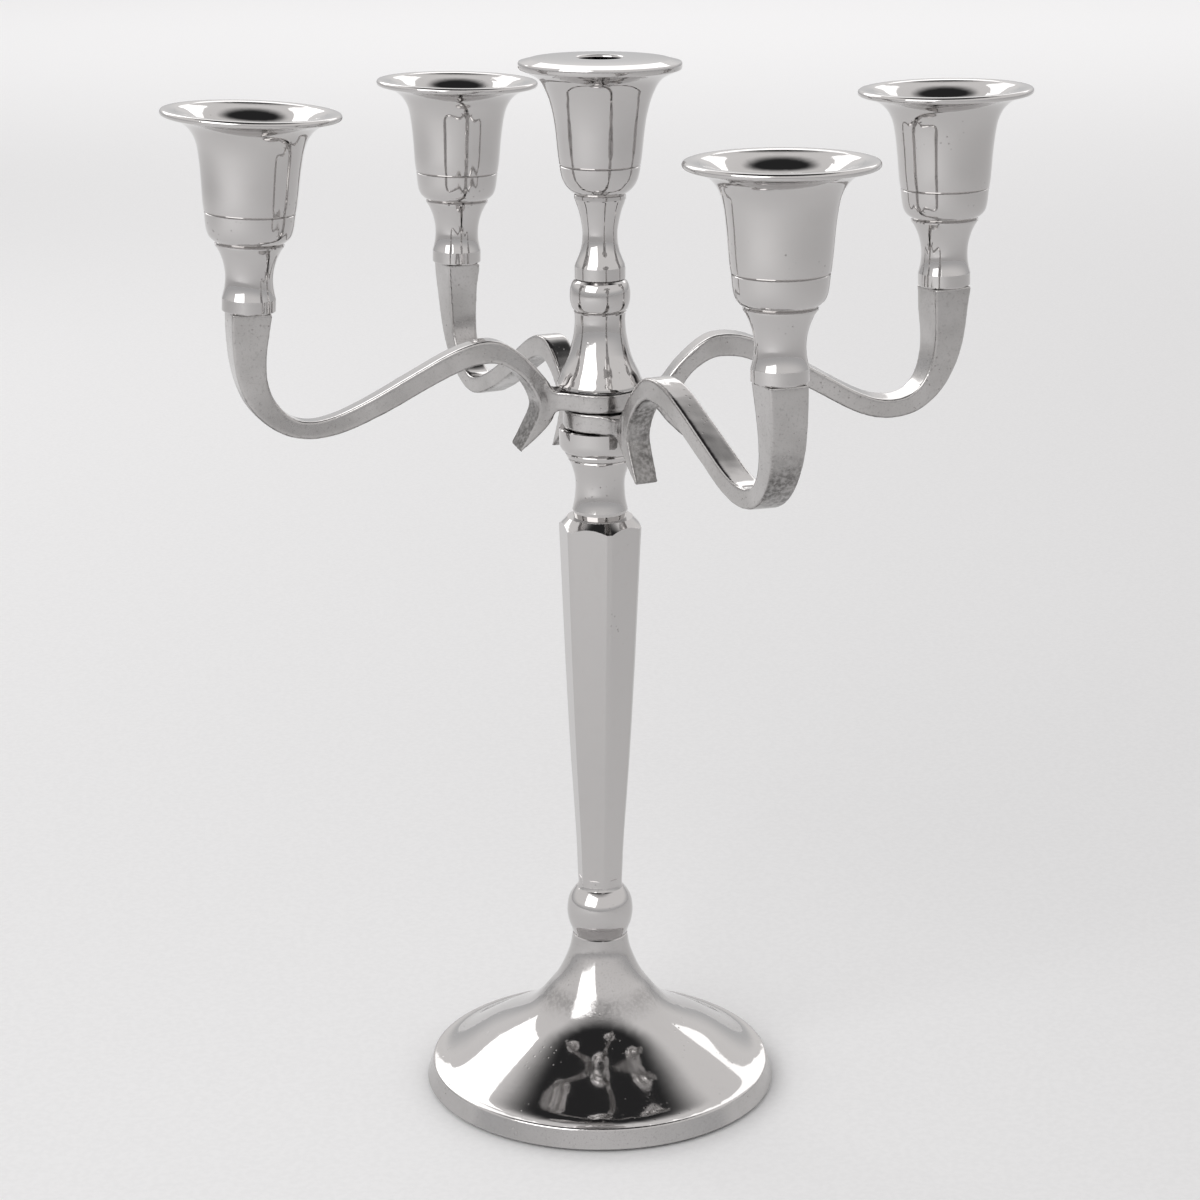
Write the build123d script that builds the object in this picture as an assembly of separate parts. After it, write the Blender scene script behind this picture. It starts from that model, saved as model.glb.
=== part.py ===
from build123d import *
import os
import math

# Five-light table candelabrum in polished nickel-plated cast aluminium.
# Frame: origin at the middle of the foot's underside, +Z up the column,
# +X along the upper double arm. Every length is in millimetres.

# ---------------------------------------------------------------- driving sizes
overall_h = 400.0          # table to the top of the centre cup
foot_r = 68.5              # foot radius at the table
foot_rim_z = 0.6           # the cast rim stands this far off the table, on the felt ring
foot_wall = 3.0            # wall of the hollow foot
foot_top_z = 60.7          # joint between the foot's trumpet and the column's ball
foot_ceiling_z = 38.0      # underside of the solid neck inside the hollow foot

hub_z = 263.9              # top face of the column's collar
hub_t = 7.4                # thickness of each double arm's hub
face_gap = 0.1             # running gap between stacked faces
hub_r = 13.9               # hub eye radius
hub_pitch = hub_t + face_gap
strap_drop = 6.7           # the lower casting's straps lie this far under the upper one's

lower_arm_az = -72.2       # lower double arm's heading, counted from the upper one
seat_short_z = 311.4       # seat of the arm whose scroll is close to the hub
seat_long_z = 313.2        # seat of the arm whose scroll is further out
seat_short_r = 128.5       # reach of those seats
seat_long_r = 130.6
cup_h = 73.2               # arm cup, seat to rim
cup_rim_r = 32.3
socket_r = 11.0            # candle socket in an arm cup (22 mm candles)
socket_depth = 22.4
centre_socket_r = 8.4      # candle hole in the centre cup
centre_socket_depth = 27.0

hex_az = 34.3              # heading of one corner of the hexagonal shaft

m8_r = 4.0                 # hub stud and foot bolt
m6_r = 3.0                 # cup studs
fit = 0.02                 # radial gap of a thread that stays put
run = 0.06                 # radial gap of a bore that turns on its stud

baluster_z = hub_z + 2 * hub_pitch + face_gap      # underside of the clamp washer
centre_joint_z = 319.5     # joint between baluster and centre cup

PARTS = {}


# ---------------------------------------------------------------- helpers
def turned(segments):
    """Solid of revolution. Each segment is ('s', points) for a smooth run or
    ('l', points) for straight runs; points are (radius, height)."""
    edges = []
    last = None
    first = None
    for kind, pts in segments:
        pts = [(float(r), float(z)) for r, z in pts]
        if last is not None:
            pts = [last] + pts
        if first is None:
            first = pts[0]
        v = [Vector(r, 0, z) for r, z in pts]
        if kind == "s" and len(v) > 2:
            edges.append(Edge.make_spline(v))
        else:
            for a, b in zip(v[:-1], v[1:]):
                edges.append(Edge.make_line(a, b))
        last = pts[-1]
    if math.hypot(last[0] - first[0], last[1] - first[1]) > 1e-6:
        edges.append(Edge.make_line(Vector(last[0], 0, last[1]), Vector(first[0], 0, first[1])))
    face = Face(Wire(edges))
    return Solid.revolve(face, 360, Axis.Z)


def rod(r, z0, z1, x=0.0, y=0.0, chamfer=0.0):
    """Upright cylinder with optional chamfered ends."""
    if chamfer <= 0:
        return Pos(x, y, z0) * Cylinder(r, z1 - z0, align=(Align.CENTER, Align.CENTER, Align.MIN))
    body = turned([("l", [(0, z0), (r - chamfer, z0), (r, z0 + chamfer),
                          (r, z1 - chamfer), (r - chamfer, z1), (0, z1)])])
    return Pos(x, y, 0) * body


def one(shape):
    """The single solid in a boolean's result."""
    s = shape.solids()
    assert len(s) == 1, len(s)
    return s[0]


def put(name, solid):
    PARTS[name] = solid


# ---------------------------------------------------------------- foot
# Hollow casting: sloped rim band, gently crowned dome, trumpet neck. The neck
# is solid round the bolt and its ceiling takes the washers.
dome = [(65.5, 8.3), (63.0, 8.75), (58.0, 11.1), (52.0, 14.75), (46.0, 18.32), (43.0, 19.96), (40.0, 21.55),
        (37.0, 23.18), (34.0, 24.95), (29.0, 28.5), (25.0, 32.3), (22.2, 35.5), (20.1, 38.2), (17.5, 41.7),
        (15.95, 44.3), (14.7, 46.8), (13.6, 49.4), (12.6, 52.0), (11.75, 54.5), (11.2, 57.1),
        (10.85, 59.2), (10.7, 60.4)]
foot = turned([
    ("l", [(68.0, foot_rim_z), (foot_r, foot_rim_z + 0.5), (66.35, 7.6)]),
    ("s", [(66.1, 8.05), (65.5, 8.3)]),
    ("s", dome[1:]),
    ("l", [(10.4, foot_top_z), (4.5, foot_top_z), (4.5, foot_ceiling_z), (13.0, foot_ceiling_z)]),
    ("s", [(15.6, 37.3), (18.0, 35.2), (21.0, 31.8), (25.0, 27.9), (29.0, 24.7), (34.0, 21.4),
           (40.0, 18.0), (46.0, 14.7), (52.0, 11.3), (58.0, 7.9), (62.0, 5.9), (63.6, 4.7), (64.3, 3.2)]),
    ("l", [(64.9, 1.6), (67.0, 1.6), (67.0, foot_rim_z)]),
])
put("base_foot", foot)

# Felt ring glued into the step under the rim: the part the candelabrum stands on.
put("foot_felt_ring", turned([("l", [(62.6, 0.0), (66.6, 0.0), (66.9, 0.3), (66.9, 1.5), (62.6, 1.5), (62.3, 1.2), (62.3, 0.3), (62.6, 0.0)])]))

# Flat washer, split spring washer and hexagon bolt, driven up from inside the foot.
w1, w2 = foot_ceiling_z, foot_ceiling_z - 1.6
put("foot_washer", turned([("l", [(4.2, w2), (7.8, w2), (8.0, w2 + 0.2), (8.0, w1), (4.2, w1), (4.2, w2)])]))
s2 = w2 - 2.0
ring = turned([("l", [(4.1, s2), (7.1, s2), (7.1, w2), (4.1, w2), (4.1, s2)])])
slit = Rot(0, 0, 20) * Pos(5.6, 0, (s2 + w2) / 2) * Rot(18, 0, 0) * Box(4.4, 0.9, 4.0)
put("foot_spring_washer", one(ring - slit))
head_t = 5.3
head = extrude(Pos(0, 0, s2 - head_t) * RegularPolygon(13.0 / 2 / math.cos(math.pi / 6), 6), head_t)
head_cone = turned([("l", [(0, s2 - head_t), (6.2, s2 - head_t), (7.6, s2 - head_t + 0.8), (7.6, s2), (0, s2), (0, s2 - head_t)])])
bolt = (head & head_cone) + rod(m8_r, s2 - 0.5, s2 + 60.0, chamfer=0.4)
put("foot_bolt", one(bolt))

# ---------------------------------------------------------------- column
# One casting: ball on the foot, tapering hexagonal shaft, waisted neck, collar.
ball_solid = turned([
    ("l", [(0, foot_top_z), (10.3, foot_top_z)]),
    ("s", [(10.75, 61.9), (11.25, 63.4), (11.95, 65.1), (12.4, 66.8), (12.7, 68.5), (12.83, 70.6),
           (12.6, 73.2), (12.14, 75.3), (11.35, 77.0), (10.26, 78.7), (9.3, 79.9)]),
    ("l", [(8.9, 80.3)]),
    ("s", [(8.55, 81.2), (8.35, 82.6), (8.2, 84.5)]),
    ("l", [(0, 84.5), (0, foot_top_z)]),
])
# Hexagon: circumradius against height; the corners are left slightly blunt.
hex_rows = [(81.4, 8.95), (86.0, 9.15), (95.4, 9.5), (113.0, 10.6), (136.0, 12.15), (158.7, 13.4), (181.2, 14.5), (203.4, 15.45),
            (219.9, 16.2), (229.5, 16.6)]
sections = []
for z, rc in hex_rows:
    blunt = 0.07 * rc
    pts = []
    for k in range(6):
        a0 = math.radians(hex_az + 60 * k)
        corner = (rc * math.cos(a0), rc * math.sin(a0))
        for s in (-1, 1):
            a1 = math.radians(hex_az + 60 * (k + s))
            other = (rc * math.cos(a1), rc * math.sin(a1))
            d = math.hypot(other[0] - corner[0], other[1] - corner[1])
            t = blunt / d
            pts.append(Vector(corner[0] + (other[0] - corner[0]) * t, corner[1] + (other[1] - corner[1]) * t, z))
    sections.append(Wire(Edge.make_line(pts[i], pts[(i + 1) % 12]) for i in range(12)))
shaft = Solid.make_loft(sections)
# The shaft's head is cut by the flare's cone, which leaves the scalloped edge.
trim = turned([
    ("l", [(0, 80.0), (30.0, 80.0), (30.0, 218.0), (18.4, 224.2)]),
    ("s", [(16.6, 225.3), (15.2, 226.5), (13.9, 227.8), (12.9, 228.9), (12.0, 230.0), (11.2, 231.2), (10.5, 232.6)]),
    ("l", [(0, 232.6), (0, 80.0)]),
])
shaft = one(shaft & trim)
neck = turned([
    ("l", [(0, 226.0), (9.0, 226.0), (10.45, 232.6)]),
    ("s", [(9.9, 234.8), (9.5, 237.1), (9.3, 239.4), (9.2, 241.7), (9.5, 245.2), (10.1, 247.6), (10.8, 249.8), (11.35, 251.0), (11.9, 251.8)]),
    ("l", [(11.7, 252.2), (12.4, 252.8)]),
    ("s", [(12.8, 253.6), (13.1, 254.3)]),
    ("l", [(12.9, 254.7), (13.9, 255.3)]),
    ("s", [(14.75, 256.3), (15.2, 257.6), (15.3, 259.0)]),
    ("l", [(15.3, hub_z - 0.35), (14.95, hub_z), (0, hub_z), (0, 226.0)]),
])
column = shaft.fuse(ball_solid, neck)
column = column - rod(m8_r + fit, foot_top_z - 1, 97.0) - rod(m8_r + fit, 240.5, hub_z + 1)
put("column", one(column))

# ---------------------------------------------------------------- hub stud
put("hub_stud", rod(m8_r, 241.0, 299.5, chamfer=0.5))

# ---------------------------------------------------------------- double arms
# One casting each: a hub with an S-arm and scroll to either side, finished by
# hand. The hub's hole is drilled a little off the pattern's middle, so one
# scroll stands closer to the hub (short) than the other (long).
# Rows: reach, height, depth in plane, width, edge bevel.
short_strap = [
    (31.5, 257.0, 1.2, 9.4, 0.25),
    (29.4, 259.8, 2.5, 9.6, 0.40),
    (27.3, 262.5, 3.9, 9.8, 0.45),
    (25.1, 265.5, 5.3, 9.9, 0.45),
    (22.9, 268.8, 6.7, 10.0, 0.45),
    (21.6, 272.8, 7.5, 10.0, 0.45),
    (22.2, 277.0, 7.6, 10.0, 0.45),
    (24.2, 280.9, 7.0, 10.0, 0.45),
    (27.0, 284.8, 6.6, 10.0, 0.45),
    (30.3, 288.3, 6.8, 10.0, 0.45),
    (34.1, 291.4, 7.5, 10.0, 0.50),
    (38.3, 293.5, 8.4, 10.0, 0.50),
    (43.0, 294.0, 8.7, 10.0, 0.50),
    (48.5, 292.9, 8.4, 10.0, 0.50),
    (54.6, 290.6, 8.1, 10.0, 0.50),
    (62.0, 286.9, 7.7, 10.0, 0.50),
    (70.5, 282.4, 7.6, 10.1, 0.50),
    (79.5, 277.5, 7.5, 10.2, 0.50),
    (87.0, 273.8, 7.3, 10.3, 0.50),
    (94.5, 270.6, 7.1, 10.4, 0.50),
    (101.5, 268.4, 6.8, 10.6, 0.50),
    (108.0, 267.6, 6.7, 10.8, 0.50),
    (114.0, 268.6, 7.0, 11.0, 0.50),
    (119.2, 271.4, 7.8, 11.3, 0.50),
    (123.4, 275.4, 8.8, 11.7, 0.50),
    (126.6, 280.3, 9.8, 12.1, 0.50),
    (128.6, 286.0, 10.8, 12.6, 0.50),
    (129.5, 292.0, 11.8, 13.1, 0.50),
    (129.6, 298.5, 12.9, 13.6, 0.50),
    (129.2, 305.0, 14.1, 14.0, 0.50),
    (seat_short_r, seat_short_z, 15.0, 14.4, 0.50),
]
scroll_shift = 4.6
long_strap = [(r + scroll_shift, z + 0.1, d, w, c) for r, z, d, w, c in short_strap[:13]] + [
    (53.2, 293.4, 8.5, 9.9, 0.50),
    (59.2, 291.3, 8.1, 10.0, 0.50),
    (66.6, 287.8, 7.7, 10.0, 0.50),
    (74.5, 283.6, 7.6, 10.1, 0.50),
    (82.5, 279.3, 7.5, 10.2, 0.50),
    (90.0, 275.2, 7.4, 10.3, 0.50),
    (97.5, 271.5, 7.4, 10.4, 0.50),
    (104.5, 269.3, 7.4, 10.6, 0.50),
    (111.0, 269.0, 7.4, 10.8, 0.50),
    (116.8, 270.4, 7.5, 11.0, 0.50),
    (121.7, 273.5, 7.9, 11.3, 0.50),
    (125.6, 277.9, 8.8, 11.7, 0.50),
    (128.4, 283.3, 10.0, 12.2, 0.50),
    (130.2, 289.3, 11.2, 12.8, 0.50),
    (131.0, 295.8, 12.5, 13.4, 0.50),
    (131.1, 302.5, 13.7, 14.0, 0.50),
    (130.9, 308.5, 14.8, 14.4, 0.50),
    (seat_long_r, seat_long_z, 15.4, 14.6, 0.50),
]


def ramp(x, rows):
    """Straight-line table look-up."""
    if x <= rows[0][0]:
        return rows[0][1]
    for (x0, y0), (x1, y1) in zip(rows[:-1], rows[1:]):
        if x <= x1:
            return y0 + (y1 - y0) * (x - x0) / (x1 - x0)
    return rows[-1][1]


# Each arm as dressed by hand: heading, strap table, drop, lean of the cup's
# axis in degrees, cup height factor, and departures along the strap as
# (station share, value): out, up, sideways bow and slimmer width in mm, twist
# in degrees.
lean_az = -9.2
ARMS = {
    "right": dict(az=0.0, strap=long_strap, drop=0.0, lean=-1.5, cup=1.0,
                  out=[(0.0, -1.3), (0.28, -1.2), (0.42, 0.0), (0.75, 0.0), (0.85, -0.8), (0.94, -0.8), (1.0, 0.0)],
                  up=[(0.0, 0.0), (0.45, 0.0), (0.6, -0.5), (0.8, -0.3), (1.0, 0.2)],
                  bow=[(0.4, 0.0), (0.72, -2.2), (1.0, 0.0)], slim=[(0.0, 0.0), (1.0, 0.0)],
                  twist=[(0.45, 0.0), (0.72, 5.0), (0.86, 13.0), (1.0, 16.0)]),
    "left": dict(az=180.0, strap=short_strap, drop=0.0, lean=2.7, cup=0.982,
                 out=[(0.0, 0.0), (1.0, 0.0)],
                 up=[(0.0, 0.0), (0.5, 0.0), (0.64, -0.8), (0.82, -0.7), (1.0, 0.0)],
                 bow=[(0.4, 0.0), (0.72, -1.2), (1.0, 0.0)], slim=[(0.0, 0.0), (1.0, 0.0)],
                 twist=[(0.0, 17.0), (0.22, 17.0), (0.34, 6.0), (0.45, 0.0), (0.55, 0.0), (0.80, 8.0), (1.0, 10.0)]),
    "front": dict(az=lower_arm_az, strap=long_strap, drop=strap_drop, lean=-0.6, cup=0.995,
                  out=[(0.0, 0.0), (1.0, 0.0)],
                  up=[(0.0, -0.4), (0.3, 0.0), (0.6, -0.3), (1.0, -0.3)],
                  bow=[(0.15, 0.6), (0.4, 0.8), (0.72, 3.2), (0.9, 1.0), (1.0, 0.0)], slim=[(0.0, 0.0), (1.0, 0.0)],
                  twist=[(0.6, 0.0), (0.85, -5.0), (1.0, -6.0)]),
    "back": dict(az=lower_arm_az + 180.0, strap=short_strap, drop=strap_drop, lean=1.0, cup=1.0,
                 out=[(0.0, 0.0), (1.0, 0.0)],
                 up=[(0.0, 0.0), (0.38, 0.0), (0.5, -1.4), (0.68, -1.4), (0.84, 0.2), (1.0, 1.2)],
                 bow=[(0.4, 0.0), (0.72, -1.0), (0.9, -0.8), (1.0, 0.0)], slim=[(0.7, 0.0), (0.78, 1.2), (0.93, 1.2), (1.0, 0.2)],
                 twist=[(0.0, 0.0), (1.0, 0.0)]),
}


def rows_of(side):
    """The arm's own strap table, with its hand-dressed departures applied."""
    arm = ARMS[side]
    n = len(arm["strap"]) - 1
    return [(r + ramp(i / n, arm["out"]), z + ramp(i / n, arm["up"]), d, w - ramp(i / n, arm["slim"]), c)
            for i, (r, z, d, w, c) in enumerate(arm["strap"])]


def unit(v):
    m = math.sqrt(sum(c * c for c in v))
    return tuple(c / m for c in v)


def cross(a, b):
    return (a[1] * b[2] - a[2] * b[1], a[2] * b[0] - a[0] * b[2], a[0] * b[1] - a[1] * b[0])


def seat_of(side):
    """Seat centre and the cup's axis, in the part's frame."""
    arm = ARMS[side]
    r, z = rows_of(side)[-1][:2]
    lat = ramp(1.0, arm["bow"])
    ca, sa = math.cos(math.radians(arm["az"])), math.sin(math.radians(arm["az"]))
    t = math.tan(math.radians(arm["lean"]))
    axis = unit((t * math.cos(math.radians(lean_az)), t * math.sin(math.radians(lean_az)), 1.0))
    return (r * ca - lat * sa, r * sa + lat * ca, z - arm["drop"]), axis


def leg_of(side):
    """Octagonal sections lofted along the strap, from the scroll's tip to the seat."""
    arm = ARMS[side]
    az = math.radians(arm["az"])
    ca, sa = math.cos(az), math.sin(az)
    rows = rows_of(side)
    n = len(rows)
    local = [(rows[i][0], ramp(i / (n - 1), arm["bow"]), rows[i][1] - arm["drop"]) for i in range(n)]
    (_, _, _), ax = seat_of(side)
    ax_local = (ax[0] * ca + ax[1] * sa, -ax[0] * sa + ax[1] * ca, ax[2])
    wires = []
    for i in range(n):
        p0, p1 = local[max(i - 1, 0)], local[min(i + 1, n - 1)]
        t = unit(tuple(b - a for a, b in zip(p0, p1)))
        if i == n - 1:
            t = ax_local
        elif i == n - 2:
            t = unit(tuple(0.5 * a + 0.5 * b for a, b in zip(t, ax_local)))
        nrm = unit(cross(t, (0.0, 1.0, 0.0)))
        wid = cross(nrm, t)
        th = math.radians(ramp(i / (n - 1), arm["twist"]))
        nn = tuple(a * math.cos(th) - b * math.sin(th) for a, b in zip(nrm, wid))
        ww = tuple(b * math.cos(th) + a * math.sin(th) for a, b in zip(nrm, wid))
        depth, width, c = rows[i][2:]
        a, b = depth / 2, width / 2
        ring = [(a, b - c), (a - c, b), (-a + c, b), (-a, b - c), (-a, -b + c), (-a + c, -b), (a - c, -b), (a, -b + c)]
        pts = []
        for u, v in ring:
            q = [local[i][k] + u * nn[k] + v * ww[k] for k in range(3)]
            pts.append(Vector(q[0] * ca - q[1] * sa, q[0] * sa + q[1] * ca, q[2]))
        wires.append(Wire(Edge.make_line(pts[k], pts[(k + 1) % 8]) for k in range(8)))
    return Solid.make_loft(wires)


def along(base, axis, r, d0, d1, chamfer=0.0):
    """Rod of radius r along an axis, from d0 to d1 past the base point."""
    place = Plane(origin=base, z_dir=axis).location
    return place * rod(r, d0, d1, chamfer=chamfer)


def double_arm(sides, z0):
    z1 = z0 + hub_t
    c = 0.35
    solid = turned([("l", [(0, z0), (hub_r - c, z0), (hub_r, z0 + c), (hub_r, z1 - c), (hub_r - c, z1), (0, z1), (0, z0)])])
    for side in sides:
        arm = ARMS[side]
        h = arm["az"]
        far = (scroll_shift if arm["strap"] is long_strap else 0.0) + arm["out"][0][1]
        solid = solid + leg_of(side)
        # Bar from the hub's eye to the scroll, waisted in plan and flared in height.
        plan_edges = []
        top_side = [(9.0, 10.5), (11.8, 8.4), (14.4, 6.5), (17.2, 5.2), (21.5 + far, 4.6)]
        v = [Vector(x, y, 200) for x, y in top_side]
        w = [Vector(x, -y, 200) for x, y in reversed(top_side)]
        plan_edges = [Edge.make_line(Vector(2, 10.5, 200), v[0]), Edge.make_spline(v), Edge.make_line(v[-1], w[0]),
                      Edge.make_spline(w), Edge.make_line(w[-1], Vector(2, -10.5, 200)), Edge.make_line(Vector(2, -10.5, 200), Vector(2, 10.5, 200))]
        plan = Solid.extrude(Face(Wire(plan_edges)), Vector(0, 0, 150))
        dz = -arm["drop"]
        low = [(15.6, z0 + 0.02), (16.8 + far, z0 - 0.4), (18.0 + far, z0 - 1.5), (19.4 + far, z0 - 3.3)]
        high = [(20.6 + far, z1 + 3.0), (19.2 + far, z1 + 1.3), (17.8 + far, z1 + 0.3), (15.6, z1 - 0.02)]
        e = []
        a0, b0 = Vector(1, -20, z0 + 0.02), Vector(1, -20, z1 - 0.02)
        lv = [Vector(x, -20, z) for x, z in low]
        hv = [Vector(x, -20, z) for x, z in high]
        e = [Edge.make_line(a0, lv[0]), Edge.make_spline(lv), Edge.make_line(lv[-1], Vector(22.0 + far, -20, 268.0 + dz)),
             Edge.make_line(Vector(22.0 + far, -20, 268.0 + dz), Vector(22.4 + far, -20, 278.5 + dz)),
             Edge.make_line(Vector(22.4 + far, -20, 278.5 + dz), hv[0]), Edge.make_spline(hv), Edge.make_line(hv[-1], b0), Edge.make_line(b0, a0)]
        side_view = Solid.extrude(Face(Wire(e)), Vector(0, 40, 0))
        bar = Rot(0, 0, h) * one(plan & side_view)
        solid = solid + bar
    solid = solid - rod(m8_r + run, z0 - 1, z1 + 1)
    for side in sides:
        base, axis = seat_of(side)
        solid = solid - along(base, axis, m6_r + fit, -12.5, 1.0)
    return one(solid)


lower_z0 = hub_z + face_gap
upper_z0 = lower_z0 + hub_pitch
put("upper_double_arm", double_arm(("right", "left"), upper_z0))
put("lower_double_arm", double_arm(("front", "back"), lower_z0))

# ---------------------------------------------------------------- arm cups and their studs
def cup_outline(k):
    """Half section of an arm cup, its height scaled by k."""
    outline = [
        ("l", [(m6_r + run, 0.0), (9.35, 0.0), (9.75, 0.45), (9.75, 4.8), (9.65, 5.2)]),
        ("s", [(9.1, 7.4), (8.72, 9.9), (8.62, 12.4), (8.85, 15.2), (9.5, 18.2), (10.7, 21.4), (12.45, 24.4)]),
        ("l", [(12.5, 24.9), (11.9, 25.3)]),
        ("s", [(13.3, 26.3), (14.7, 27.7), (15.55, 29.8), (15.95, 32.0), (16.2, 34.4), (16.35, 36.2)]),
        ("l", [(15.95, 36.6), (16.5, 37.0)]),
        ("s", [(16.85, 39.4), (17.3, 44.2), (17.85, 51.2), (18.45, 56.2), (19.1, 60.0), (19.9, 62.6), (21.2, 65.1), (23.1, 67.3), (26.0, 69.2), (29.4, 70.4)]),
        ("s", [(31.3, 70.75), (32.1, 71.3), (cup_rim_r, 72.0), (32.0, 72.75), (31.2, 73.15)]),
        ("s", [(30.2, cup_h), (28.6, 73.1), (27.2, 72.85)]),
        ("s", [(26.6, 72.5), (24.2, 71.55), (21.6, 70.35), (19.3, 68.8), (17.7, 66.8), (16.6, 64.4), (15.0, 61.9), (12.6, 59.6)]),
        ("s", [(11.5, 58.7), (socket_r, 57.4)]),
        ("l", [(socket_r, 57.4 - socket_depth), (9.8, 56.6 - socket_depth), (0.0, 56.6 - socket_depth)]),
    ]
    outline = [(kind, [(r, z * k) for r, z in pts]) for kind, pts in outline]
    return outline + [("l", [(0.0, 17.0), (m6_r + run, 17.0), (m6_r + run, 0.0)])]


stud_up = 15.0
for side in ("right", "left", "front", "back"):
    base, axis = seat_of(side)
    place = Plane(origin=tuple(p + face_gap * q for p, q in zip(base, axis)), z_dir=axis).location
    put("cup_" + side, place * turned(cup_outline(ARMS[side]["cup"])))
    put("cup_stud_" + side, along(base, axis, m6_r, -12.0, stud_up, chamfer=0.4))
    middle = (57.4 - 0.5 * socket_depth) * ARMS[side]["cup"] + face_gap
    print(side, "seat", [round(v, 4) for v in base], "axis", [round(v, 6) for v in axis],
          "socket middle", [round(p + middle * q, 4) for p, q in zip(base, axis)])

# ---------------------------------------------------------------- baluster above the hubs
washer_t = 0.8
put("clamp_washer", turned([("l", [(4.2, baluster_z - face_gap + 0.05), (11.0, baluster_z - face_gap + 0.05),
                                   (11.0, baluster_z + washer_t - 0.05), (4.2, baluster_z + washer_t - 0.05), (4.2, baluster_z - face_gap + 0.05)])]))
bz = baluster_z + washer_t - 0.05
put("baluster", turned([
    ("l", [(m8_r + run, bz), (15.7, bz), (16.2, bz + 0.5)]),
    ("s", [(16.05, 281.2), (15.4, 282.6), (14.45, 284.9), (13.2, 287.4), (12.1, 289.9), (11.25, 292.4), (10.65, 294.9), (10.15, 297.2), (9.75, 299.4), (9.45, 302.0), (9.35, 304.4), (9.5, 307.2)]),
    ("l", [(9.75, 307.6), (9.15, 308.0)]),
    ("s", [(10.0, 308.6), (10.65, 310.0), (11.02, 311.6), (11.19, 313.8), (11.1, 315.6), (10.7, 317.4), (10.0, 318.8)]),
    ("l", [(9.2, centre_joint_z), (m6_r + fit, centre_joint_z), (m6_r + fit, 305.4), (0, 305.4), (0, 301.0), (m8_r + run, 301.0), (m8_r + run, bz)]),
]))
put("centre_cup_stud", rod(m6_r, 306.0, 342.5, chamfer=0.4))

# ---------------------------------------------------------------- centre cup
cz = centre_joint_z + face_gap
h = overall_h
put("centre_cup", turned([
    ("l", [(m6_r + run, cz), (8.9, cz), (9.35, cz + 0.4), (9.35, 324.3)]),
    ("s", [(8.95, 325.6), (8.3, 327.1), (7.7, 328.6), (7.2, 330.1), (6.85, 331.6), (6.56, 333.2), (6.42, 335.2), (6.45, 337.4), (6.66, 339.2),
           (6.95, 340.8), (7.4, 342.9), (7.95, 345.0), (8.65, 347.0), (9.3, 348.9)]),
    ("l", [(9.5, 349.2), (9.5, 350.5), (9.1, 350.9)]),
    ("s", [(10.6, 351.9), (12.1, 353.3), (13.1, 354.8), (13.8, 356.3), (14.25, 357.9), (14.55, 359.4), (14.75, 361.0)]),
    ("l", [(14.35, 361.4), (14.85, 361.8)]),
    ("s", [(15.4, 365.8), (15.9, 371.0), (16.4, 375.4), (17.1, 379.6), (17.9, 383.0), (18.7, 385.6), (19.7, 388.0), (20.8, 390.3), (22.4, 392.3), (24.4, 393.7), (26.6, 394.8)]),
    ("l", [(28.9, 395.7)]),
    ("s", [(29.45, 396.1), (29.64, 396.8), (29.64, 397.9), (29.4, 398.4)]),
    ("l", [(25.3, 399.45)]),
    ("s", [(20.0, 399.8), (14.0, 399.95), (9.3, h)]),
    ("s", [(8.65, 399.8), (centre_socket_r, 399.2)]),
    ("l", [(centre_socket_r, h - centre_socket_depth), (7.4, h - centre_socket_depth - 0.8), (0, h - centre_socket_depth - 0.8),
           (0, 344.5), (m6_r + run, 344.5), (m6_r + run, cz)]),
]))

# ---------------------------------------------------------------- write the parts
os.makedirs("parts", exist_ok=True)
for name, solid in PARTS.items():
    solid.label = name
    export_step(solid, "parts/" + name + ".step")
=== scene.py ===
import math

import bpy
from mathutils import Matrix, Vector


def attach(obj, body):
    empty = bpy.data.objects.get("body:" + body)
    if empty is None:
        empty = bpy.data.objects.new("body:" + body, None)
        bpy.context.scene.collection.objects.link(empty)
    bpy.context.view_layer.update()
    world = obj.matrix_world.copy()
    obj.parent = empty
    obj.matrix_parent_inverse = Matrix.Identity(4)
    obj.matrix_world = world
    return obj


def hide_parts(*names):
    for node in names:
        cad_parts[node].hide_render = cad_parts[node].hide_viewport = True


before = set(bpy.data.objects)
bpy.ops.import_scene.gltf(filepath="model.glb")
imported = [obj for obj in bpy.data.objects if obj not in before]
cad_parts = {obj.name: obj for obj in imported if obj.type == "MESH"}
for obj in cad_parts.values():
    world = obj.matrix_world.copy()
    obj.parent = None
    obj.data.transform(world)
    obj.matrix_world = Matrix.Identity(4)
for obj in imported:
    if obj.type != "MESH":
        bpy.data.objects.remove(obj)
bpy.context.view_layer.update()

# The upper double arm lies along X. The camera stands on the -Y side, turned by
# this much, and the softboxes' headings are counted from its direction.
TURN = math.radians(9.2)


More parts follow.
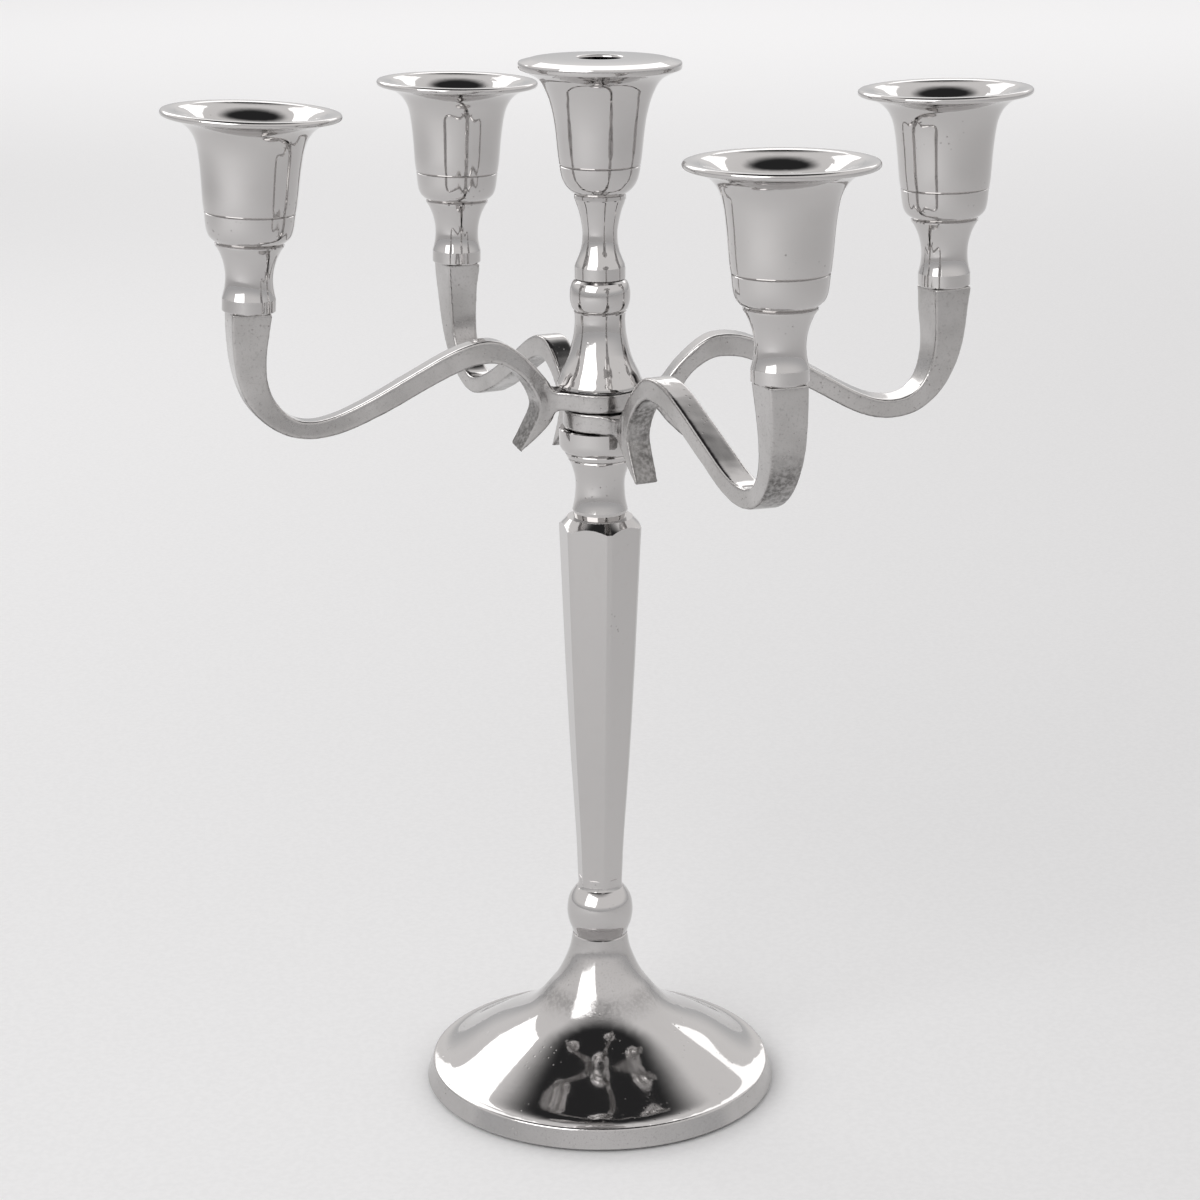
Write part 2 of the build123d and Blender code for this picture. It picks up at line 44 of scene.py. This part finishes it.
# ---------------------------------------------------------------- node helpers
class Graph:
    """Small helper that writes shader graphs."""

    def __init__(self, tree):
        self.t = tree
        tree.nodes.clear()

    def node(self, kind, **props):
        n = self.t.nodes.new(kind)
        for k, v in props.items():
            setattr(n, k, v)
        return n

    def link(self, a, b):
        self.t.links.new(a, b)

    def put(self, socket, value):
        if isinstance(value, bpy.types.NodeSocket):
            self.link(value, socket)
        else:
            socket.default_value = value

    def math(self, op, a, b=0.0, clamp=False):
        n = self.node("ShaderNodeMath", operation=op, use_clamp=clamp)
        self.put(n.inputs[0], a)
        if op not in ("ABSOLUTE", "SQRT", "ARCSINE", "SINE", "COSINE"):
            self.put(n.inputs[1], b)
        return n.outputs[0]

    def step(self, x, lo, hi, smooth=True):
        """0 below lo, 1 above hi."""
        n = self.node("ShaderNodeMapRange", interpolation_type="SMOOTHSTEP" if smooth else "LINEAR", clamp=True)
        self.put(n.inputs["Value"], x)
        n.inputs["From Min"].default_value = lo
        n.inputs["From Max"].default_value = hi
        n.inputs["To Min"].default_value = 0.0
        n.inputs["To Max"].default_value = 1.0
        return n.outputs["Result"]

    def band(self, x, lo, hi, soft):
        """1 between lo and hi, with edges soft wide."""
        a = self.step(x, lo - soft / 2, lo + soft / 2)
        b = self.step(x, hi - soft / 2, hi + soft / 2)
        return self.math("MULTIPLY", a, self.math("SUBTRACT", 1.0, b))

    def mix(self, fac, a, b):
        n = self.node("ShaderNodeMix", data_type="RGBA", clamp_factor=True)
        self.put(n.inputs["Factor"], fac)
        self.put(n.inputs[6], a)
        self.put(n.inputs[7], b)
        return n.outputs[2]

    def noise(self, vec, scale, detail=3.0, rough=0.5, distortion=0.0):
        n = self.node("ShaderNodeTexNoise")
        self.put(n.inputs["Vector"], vec)
        n.inputs["Scale"].default_value = scale
        n.inputs["Detail"].default_value = detail
        n.inputs["Roughness"].default_value = rough
        n.inputs["Distortion"].default_value = distortion
        return n.outputs["Fac"]

    def remap(self, x, lo, hi, to_lo, to_hi):
        n = self.node("ShaderNodeMapRange", clamp=True)
        self.put(n.inputs["Value"], x)
        for k, v in (("From Min", lo), ("From Max", hi), ("To Min", to_lo), ("To Max", to_hi)):
            n.inputs[k].default_value = v
        return n.outputs["Result"]

    def mapped(self, vec, scale):
        n = self.node("ShaderNodeMapping")
        self.link(vec, n.inputs["Vector"])
        n.inputs["Scale"].default_value = scale
        return n.outputs["Vector"]


def material(name):
    m = bpy.data.materials.new(name)
    m.use_nodes = True
    return m, Graph(m.node_tree)


# ---------------------------------------------------------------- materials
def nickel(name, tint, rough, cast_skin_and_painted_shade=0.0, noise_seed=0.0, drag=(1.0, 1.0, 1.0)):
    """Nickel plate over polished cast aluminium. The cast-skin argument is how much of the sand-cast skin, pits and
    buffing haze is left where a wheel can't reach; it also sets how strongly downward faces, the tails' inner faces
    and upright faces are darkened with painted shade."""
    m, g = material(name)
    out = g.node("ShaderNodeOutputMaterial")
    b = g.node("ShaderNodeBsdfPrincipled")
    g.link(b.outputs[0], out.inputs[0])
    b.inputs["Metallic"].default_value = 1.0
    co = g.node("ShaderNodeTexCoord")
    geo = g.node("ShaderNodeNewGeometry")
    p = co.outputs["Object"]
    # slow drift of the plate's tone, finer mottling, and a few darker pits
    drift = g.noise(p, 18.0 + noise_seed, 2.0)
    mottle = g.noise(p, 160.0 + noise_seed, 4.0, 0.6)
    pits = g.node("ShaderNodeTexVoronoi", feature="F1")
    g.link(p, pits.inputs["Vector"])
    pits.inputs["Scale"].default_value = 420.0
    pit_rare = g.step(g.noise(p, 60.0 + noise_seed, 1.0), 0.58 - 0.08 * cast_skin_and_painted_shade, 0.70 - 0.06 * cast_skin_and_painted_shade)
    pit = g.math("MULTIPLY", g.math("SUBTRACT", 1.0, g.step(pits.outputs["Distance"], 0.08, 0.20)), pit_rare)
    # buffing streaks, drawn out along the polishing direction
    streak = g.noise(g.mapped(p, drag), 900.0, 2.0, 0.6)
    # painted shade: the colour is darkened in hollows, where pointiness is low
    point = g.remap(geo.outputs["Pointiness"], 0.40, 0.50, 1.0, 0.0)
    base = g.mix(g.remap(drift, 0.35, 0.65, 0.0, 1.0), (tint[0] * 0.985, tint[1] * 0.985, tint[2] * 0.99, 1), (tint[0], tint[1], tint[2], 1))
    base = g.mix(g.math("MULTIPLY", g.remap(mottle, 0.55, 0.75, 0.0, 1.0), 0.10), base, (tint[0] * 0.80, tint[1] * 0.79, tint[2] * 0.78, 1))
    base = g.mix(g.math("MULTIPLY", pit, 0.5), base, (0.18, 0.17, 0.16, 1))
    # painted shade: darker towards the dark grey in the hollows
    base = g.mix(g.math("MULTIPLY", point, 0.22), base, (0.30, 0.29, 0.28, 1))
    r = g.math("ADD", rough, g.math("MULTIPLY", g.remap(mottle, 0.3, 0.8, 0.0, 1.0), 0.025 + 0.03 * cast_skin_and_painted_shade))
    r = g.math("ADD", r, g.math("MULTIPLY", pit, 0.25))
    r = g.math("ADD", r, g.math("MULTIPLY", g.remap(streak, 0.5, 0.8, 0.0, 1.0), 0.02))
    height = g.math("ADD", g.math("MULTIPLY", pit, -0.6), g.math("MULTIPLY", streak, 0.05))
    if cast_skin_and_painted_shade > 0.0:
        # faces that look down or inwards keep the grain of the cast skin in bump and roughness; their colour is
        # darkened with painted shade
        sep = g.node("ShaderNodeSeparateXYZ")
        g.link(co.outputs["Normal"], sep.inputs[0])
        under = g.step(sep.outputs["Z"], -0.15, -0.55)
        # and so does the whole inner face of each curled tail, which no wheel reaches; its colour too is darkened
        # with painted shade
        at = g.node("ShaderNodeSeparateXYZ")
        g.link(p, at.inputs[0])
        reach = g.math("SQRT", g.math("ADD", g.math("MULTIPLY", at.outputs[0], at.outputs[0]), g.math("MULTIPLY", at.outputs[1], at.outputs[1])))
        outward = g.math("ADD", g.math("MULTIPLY", at.outputs[0], sep.outputs["X"]), g.math("MULTIPLY", at.outputs[1], sep.outputs["Y"]))
        outward = g.math("DIVIDE", outward, g.math("MAXIMUM", reach, 0.001))
        tail = g.math("MULTIPLY", g.step(outward, 0.30, 0.60), g.step(sep.outputs["Z"], 0.72, 0.58))
        tail = g.math("MULTIPLY", tail, g.step(at.outputs[2], 0.277, 0.273))
        tail = g.math("MULTIPLY", tail, g.band(reach, 0.019, 0.055, 0.004))
        under = g.math("MAXIMUM", under, tail)
        grain = g.noise(p, 650.0, 4.0, 0.65)
        lump = g.noise(p, 240.0, 3.0, 0.6)
        patch = g.math("MULTIPLY", under, g.remap(g.noise(p, 45.0, 2.0), 0.30, 0.55, 0.35, 1.0))
        patch = g.math("MULTIPLY", patch, cast_skin_and_painted_shade)
        # upright faces are satin from the belt, drawn out along the arm, which makes them rougher; their colour is
        # also darkened with painted shade, more in the odd cloud and in specks
        side = g.math("SUBTRACT", 1.0, g.step(g.math("ABSOLUTE", sep.outputs["Z"]), 0.45, 0.80))
        side = g.math("MULTIPLY", side, cast_skin_and_painted_shade)
        cloud = g.remap(g.noise(p, 32.0 + noise_seed, 3.0, 0.6), 0.38, 0.66, 0.0, 1.0)
        speck = g.remap(g.noise(p, 1100.0, 3.0, 0.6), 0.56, 0.72, 0.0, 1.0)
        # painted shade: upright faces darkened in colour, more in the clouds and specks
        base = g.mix(g.math("MULTIPLY", side, g.math("ADD", 0.10, g.math("MULTIPLY", cloud, 0.30))), base, (0.27, 0.26, 0.25, 1))
        base = g.mix(g.math("MULTIPLY", g.math("MULTIPLY", side, speck), 0.35), base, (0.15, 0.145, 0.14, 1))
        r = g.math("ADD", r, g.math("MULTIPLY", side, g.math("ADD", 0.05, g.math("MULTIPLY", cloud, 0.08))))
        r = g.math("ADD", r, g.math("MULTIPLY", patch, 0.16))
        height = g.math("ADD", height, g.math("MULTIPLY", patch, g.math("ADD", g.math("MULTIPLY", grain, 1.5), g.math("MULTIPLY", lump, 2.2))))
        # painted shade: downward faces and the tails' inner faces are darkened towards near black, broken up by the
        # grain
        base = g.mix(g.math("MULTIPLY", patch, g.remap(grain, 0.38, 0.60, 0.40, 0.92)), base, (0.12, 0.116, 0.112, 1))
    g.link(base, b.inputs["Base Color"])
    g.link(g.math("MINIMUM", r, 0.6), b.inputs["Roughness"])
    bump = g.node("ShaderNodeBump")
    bump.inputs["Strength"].default_value = 0.25
    bump.inputs["Distance"].default_value = 0.0002
    g.link(height, bump.inputs["Height"])
    g.link(bump.outputs[0], b.inputs["Normal"])
    return m


def steel(name):
    """Bright zinc on turned steel: fasteners."""
    m, g = material(name)
    out = g.node("ShaderNodeOutputMaterial")
    b = g.node("ShaderNodeBsdfPrincipled")
    g.link(b.outputs[0], out.inputs[0])
    b.inputs["Metallic"].default_value = 1.0
    co = g.node("ShaderNodeTexCoord")
    p = co.outputs["Object"]
    turn = g.noise(g.mapped(p, (40.0, 40.0, 2200.0)), 1.0, 2.0)
    spangle = g.noise(p, 300.0, 4.0, 0.6)
    base = g.mix(g.remap(spangle, 0.35, 0.65, 0.0, 1.0), (0.50, 0.51, 0.53, 1), (0.68, 0.69, 0.70, 1))
    base = g.mix(g.remap(g.noise(p, 70.0, 2.0), 0.6, 0.8, 0.0, 0.5), base, (0.42, 0.36, 0.28, 1))
    g.link(base, b.inputs["Base Color"])
    g.link(g.remap(turn, 0.3, 0.7, 0.24, 0.42), b.inputs["Roughness"])
    bump = g.node("ShaderNodeBump")
    bump.inputs["Strength"].default_value = 0.4
    bump.inputs["Distance"].default_value = 0.0002
    g.link(turn, bump.inputs["Height"])
    g.link(bump.outputs[0], b.inputs["Normal"])
    return m


def felt(name):
    """Dark green-black pressed wool felt."""
    m, g = material(name)
    out = g.node("ShaderNodeOutputMaterial")
    b = g.node("ShaderNodeBsdfPrincipled")
    g.link(b.outputs[0], out.inputs[0])
    co = g.node("ShaderNodeTexCoord")
    p = co.outputs["Object"]
    fibre = g.noise(p, 1500.0, 6.0, 0.7, 1.5)
    clump = g.noise(p, 220.0, 3.0, 0.6)
    base = g.mix(g.remap(fibre, 0.35, 0.65, 0.0, 1.0), (0.012, 0.013, 0.013, 1), (0.045, 0.047, 0.046, 1))
    base = g.mix(g.remap(clump, 0.45, 0.7, 0.0, 0.6), base, (0.06, 0.06, 0.058, 1))
    g.link(base, b.inputs["Base Color"])
    b.inputs["Roughness"].default_value = 0.95
    b.inputs["Sheen Weight"].default_value = 0.3
    b.inputs["Sheen Roughness"].default_value = 0.5
    bump = g.node("ShaderNodeBump")
    bump.inputs["Strength"].default_value = 0.7
    bump.inputs["Distance"].default_value = 0.0004
    g.link(g.math("ADD", fibre, clump), bump.inputs["Height"])
    g.link(bump.outputs[0], b.inputs["Normal"])
    return m


TINT = (0.565, 0.552, 0.545)
turned_nickel = nickel("nickel_turned", TINT, 0.035, 0.0, 0.0, (0.25, 0.25, 6.0))
foot_nickel = nickel("nickel_foot", TINT, 0.035, 0.6, 3.0, (0.25, 0.25, 6.0))
shaft_nickel = nickel("nickel_shaft", TINT, 0.06, 0.0, 5.0, (5.0, 5.0, 0.35))
arm_nickel = nickel("nickel_arms", TINT, 0.07, 1.0, 7.0, (1.0, 1.0, 1.0))
zinc = steel("zinc_steel")
dark_felt = felt("foot_felt")

for name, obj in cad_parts.items():
    if name in ("base_foot",):
        mat = foot_nickel
    elif name == "column":
        mat = shaft_nickel
    elif name.endswith("double_arm"):
        mat = arm_nickel
    elif "stud" in name or "washer" in name or "bolt" in name:
        mat = zinc
    elif "felt" in name:
        mat = dark_felt
    else:
        mat = turned_nickel
    obj.data.materials.clear()
    obj.data.materials.append(mat)
    for poly in obj.data.polygons:
        poly.material_index = 0

# ---------------------------------------------------------------- arms
# Each double arm was filed and buffed by hand: its edges are rounded over and its
# faces are slightly uneven. A remeshed copy stands for the sharp CAD solid. It lies
# about 0.13 mm inside the solid, except in inside corners, which the smoothing fills
# by up to 0.33 mm.
hand = bpy.data.textures.new("hand_finish", "CLOUDS")
hand.noise_scale = 0.011
hand.noise_depth = 1


def hand_finished(node, body):
    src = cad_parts[node]
    rough_piece = bpy.data.objects.new(node + "_rough", src.data.copy())
    bpy.context.scene.collection.objects.link(rough_piece)
    voxels = rough_piece.modifiers.new("voxels", "REMESH")
    voxels.mode = "VOXEL"
    voxels.voxel_size = 0.0005
    ease = rough_piece.modifiers.new("ease", "SMOOTH")
    ease.factor = 0.5
    ease.iterations = 7
    uneven = rough_piece.modifiers.new("uneven", "DISPLACE")
    uneven.texture = hand
    uneven.texture_coords = "LOCAL"
    uneven.mid_level = 1.0
    uneven.strength = 0.00022
    mesh = bpy.data.meshes.new_from_object(rough_piece.evaluated_get(bpy.context.evaluated_depsgraph_get()))
    bpy.data.objects.remove(rough_piece, do_unlink=True)
    mesh.polygons.foreach_set("use_smooth", [True] * len(mesh.polygons))
    mesh.materials.clear()
    mesh.materials.append(arm_nickel)
    mesh.update()
    piece = bpy.data.objects.new(node + "_finished", mesh)
    bpy.context.scene.collection.objects.link(piece)
    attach(piece, body)
    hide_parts(node)
    return piece


hand_finished("upper_double_arm", "upper_arms")
hand_finished("lower_double_arm", "lower_arms")

# ---------------------------------------------------------------- studio
floor_mesh = bpy.data.meshes.new("floor")
s = 14.0
floor_mesh.from_pydata([(-s, -s, -0.0005), (s, -s, -0.0005), (s, s, -0.0005), (-s, s, -0.0005)], [], [(0, 1, 2, 3)])
floor = bpy.data.objects.new("floor", floor_mesh)
bpy.context.scene.collection.objects.link(floor)
fm, g = material("floor_paper")
out = g.node("ShaderNodeOutputMaterial")
b = g.node("ShaderNodeBsdfPrincipled")
g.link(b.outputs[0], out.inputs[0])
co = g.node("ShaderNodeTexCoord")
tooth = g.noise(co.outputs["Object"], 400.0, 4.0, 0.6)
g.link(g.mix(g.remap(tooth, 0.4, 0.6, 0.0, 1.0), (0.86, 0.86, 0.865, 1), (0.885, 0.885, 0.89, 1)), b.inputs["Base Color"])
b.inputs["Roughness"].default_value = 0.9
b.inputs["Specular IOR Level"].default_value = 0.1
floor_mesh.materials.append(fm)

# Even pale walls that fade into a dim ceiling.
world = bpy.data.worlds.new("studio")
bpy.context.scene.world = world
world.use_nodes = True
g = Graph(world.node_tree)
out = g.node("ShaderNodeOutputWorld")
bg = g.node("ShaderNodeBackground")
g.link(bg.outputs[0], out.inputs[0])
tc = g.node("ShaderNodeTexCoord")
sep = g.node("ShaderNodeSeparateXYZ")
g.link(tc.outputs["Generated"], sep.inputs[0])
# the wall starts at the far floor's own tone, so that no horizon line shows
walls = g.mix(g.step(sep.outputs["Z"], 0.02, 0.30), (0.60, 0.60, 0.605, 1), (0.92, 0.905, 0.90, 1))
g.link(g.mix(g.step(sep.outputs["Z"], 0.74, 0.92), walls, (0.03, 0.03, 0.031, 1)), bg.inputs["Color"])
bg.inputs["Strength"].default_value = 1.0


def area_light(name, at, facing, width, height, glow, tint):
    """A rectangular soft light at a point, shining against the direction facing. glow is its brightness."""
    data = bpy.data.lights.new(name, "AREA")
    data.shape = "RECTANGLE"
    data.size = width
    data.size_y = height
    data.energy = glow * math.pi * width * height
    data.color = tint
    lamp = bpy.data.objects.new(name, data)
    bpy.context.scene.collection.objects.link(lamp)
    lamp.location = at
    lamp.rotation_euler = facing.to_track_quat("Z", "Y").to_euler()


def softbox(name, heading, elevation, width, height, glow, tint=(1.0, 1.0, 1.0)):
    """A softbox 2 m from the object, turned towards it."""
    h, e = math.radians(heading), math.radians(elevation)
    x, y = math.sin(h) * math.cos(e), -math.cos(h) * math.cos(e)
    way = Vector((x * math.cos(TURN) + y * math.sin(TURN), -x * math.sin(TURN) + y * math.cos(TURN), math.sin(e)))
    area_light(name, Vector((0.0, 0.0, 0.2)) + 2.0 * way, way, width, height, glow, tint)


softbox("key", -38.0, 31.0, 1.5, 1.25, 2.3)
softbox("back", -142.0, 33.0, 1.0, 0.9, 1.5)
# one more over the floor behind the object, so that the floor stays pale to the horizon
area_light("floor_light", Vector((0.9, 4.4, 2.6)), Vector((0.0, 0.0, 1.0)), 6.0, 3.0, 0.95, (1.0, 1.0, 1.0))

# ---------------------------------------------------------------- camera
cam_data = bpy.data.cameras.new("camera")
cam = bpy.data.objects.new("camera", cam_data)
bpy.context.scene.collection.objects.link(cam)
cam.location = (-0.16603, -1.02508, 0.50715)
cam.rotation_euler = (math.radians(73.34), 0.0, math.radians(-9.2))
cam_data.sensor_width = 36.0
cam_data.lens = 85.68
cam_data.clip_start = 0.05
cam_data.clip_end = 50.0
bpy.context.scene.camera = cam
bpy.context.scene.view_settings.view_transform = "Standard"
